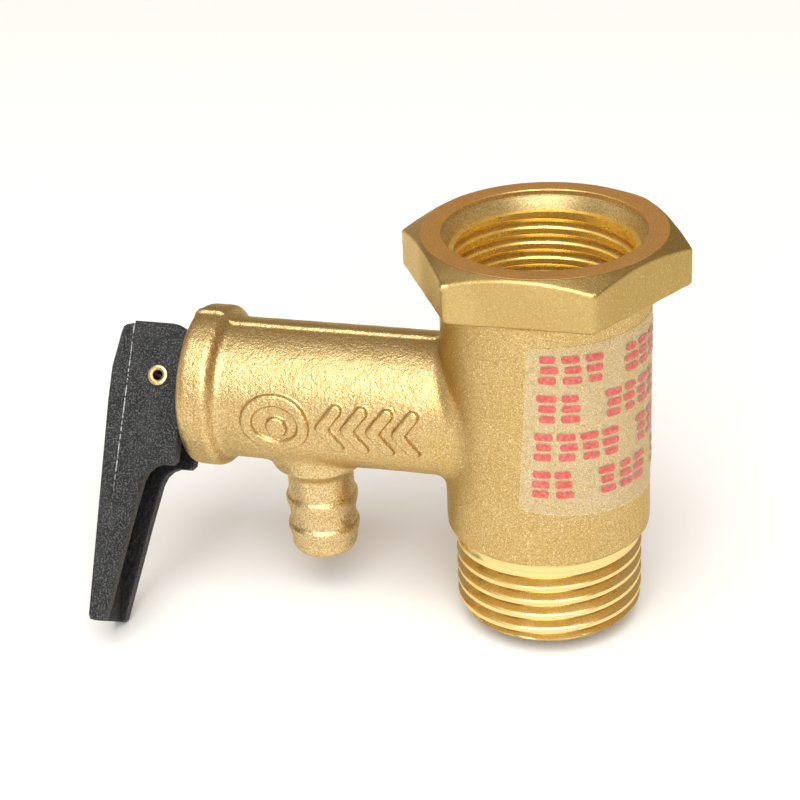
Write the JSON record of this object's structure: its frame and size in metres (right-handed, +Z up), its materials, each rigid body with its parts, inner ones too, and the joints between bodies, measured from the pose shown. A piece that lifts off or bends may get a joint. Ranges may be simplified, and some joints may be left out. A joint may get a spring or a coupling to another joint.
{
  "type": "pressure relief valve",
  "caption": "Forged brass water heater relief valve with a hexagon socket, threaded spigot, side branch with lift lever and a drain barb.",
  "frame": {"origin": "centre of the socket's mouth, on the machined top face", "axes": "+Z up the main bore and out of the socket, -X along the relief branch towards the lever, -Y towards the side that carries the label's start"},
  "size_m": [0.0657, 0.0329, 0.0473],
  "materials": {
    "forged_brass": "sandblasted",
    "turned_brass": "turned",
    "steel": "bright",
    "rubber": "matt",
    "white_nylon": "moulded",
    "black_plastic": "glass filled, grained",
    "clear_film": "clear printed film"
  },
  "bodies": {
    "valve": {"valve_body": "forged_brass", "warning_label": "clear_film", "check_cage": "white_nylon", "check_guide": "white_nylon", "cage_seal_ring": "rubber", "check_spring": "steel", "retaining_ring": "steel", "relief_spring": "steel", "spring_thrust_washer": "steel", "adjusting_nut": "turned_brass", "stem_seal_ring": "rubber"},
    "poppet": {"check_poppet": "white_nylon", "check_seal": "rubber"},
    "swivel": {"bearing_washer": "steel"},
    "stem": {"relief_disc": "rubber", "disc_screw": "steel", "disc_holder": "turned_brass", "relief_stem": "turned_brass"},
    "lever": {"lever": "black_plastic", "hinge_pin": "turned_brass"}
  },
  "joints": [
    {"name": "check_lift", "type": "slide", "parent": "valve", "child": "poppet", "axis": [0, 0, 1], "range_m": [0, 0.003], "stiffness_N_per_m": 60, "springref_m": -0.003, "deforming": ["check_spring"]},
    {"name": "lever_swivel", "type": "hinge", "parent": "valve", "child": "swivel", "pos_m": [0, 0, -0.02185], "axis": [1, 0, 0], "continuous": true},
    {"name": "stem_lift", "type": "slide", "parent": "swivel", "child": "stem", "axis": [-1, 0, 0], "range_m": [0, 0.004], "deforming": ["relief_spring"]},
    {"name": "lever_lift", "type": "hinge", "parent": "stem", "child": "lever", "pos_m": [-0.0443, 0, -0.02185], "axis": [0, 0.8192, -0.5736], "range_deg": [0, 90], "stiffness_Nm_per_rad": 0.03}
  ],
  "couplings": [
    {"joint": "stem_lift", "follows": "lever_lift", "m_per_rad": 0.0023}
  ]
}
